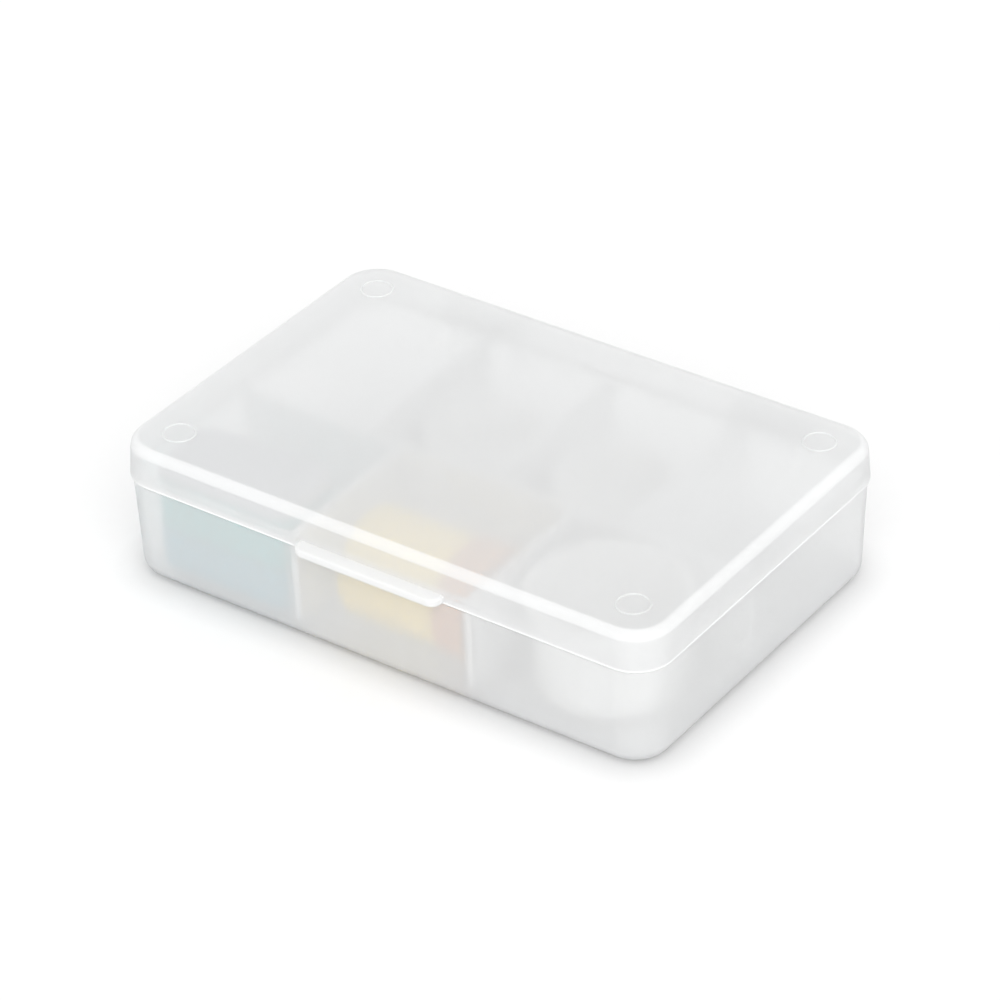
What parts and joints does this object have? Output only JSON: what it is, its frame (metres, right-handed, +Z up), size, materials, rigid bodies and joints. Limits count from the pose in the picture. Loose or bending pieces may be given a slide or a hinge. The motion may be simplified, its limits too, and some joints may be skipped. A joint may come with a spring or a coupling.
{
  "type": "contact lens case",
  "caption": "Hinged frosted plastic compartment case for contact lens things, with a skirted lid, thumb tab, drop-in dividers, lens cups, a capped pod and a lying vial.",
  "frame": {"origin": "middle of the tray's flat underside, on the surface that the case stands on", "axes": "+X along the case to the right, +Y from the thumb tab to the hinge, +Z up"},
  "size_m": [0.1, 0.0749, 0.0248],
  "materials": {
    "tray_frosted": "frosted translucent polypropylene",
    "lid_frosted": "frosted translucent polypropylene",
    "divider_frosted": "frosted translucent polypropylene",
    "pod_blue": "satin moulded plastic",
    "pod_teal": "satin moulded plastic",
    "vial_amber": "smooth moulded plastic",
    "vial_brown": "satin moulded plastic",
    "cup_white": "smooth moulded plastic"
  },
  "bodies": {
    "tray": {"tray": "tray_frosted", "long_divider": "divider_frosted", "front_divider_left": "divider_frosted", "front_divider_right": "divider_frosted", "back_divider_left": "divider_frosted", "back_divider_middle": "divider_frosted", "back_divider_right": "divider_frosted", "lens_pod": "pod_blue", "lens_pod_cap": "pod_teal", "drops_vial": "vial_amber", "drops_vial_cap": "vial_brown", "rinse_cup": "cup_white", "lens_cup_left": "cup_white", "lens_cup_right": "cup_white"},
    "lid": {"lid": "lid_frosted"}
  },
  "joints": [
    {"name": "lid_hinge", "type": "hinge", "parent": "tray", "child": "lid", "pos_m": [0, 0.03642, 0.01753], "axis": [-1, 0, 0], "range_deg": [0, 180]}
  ]
}
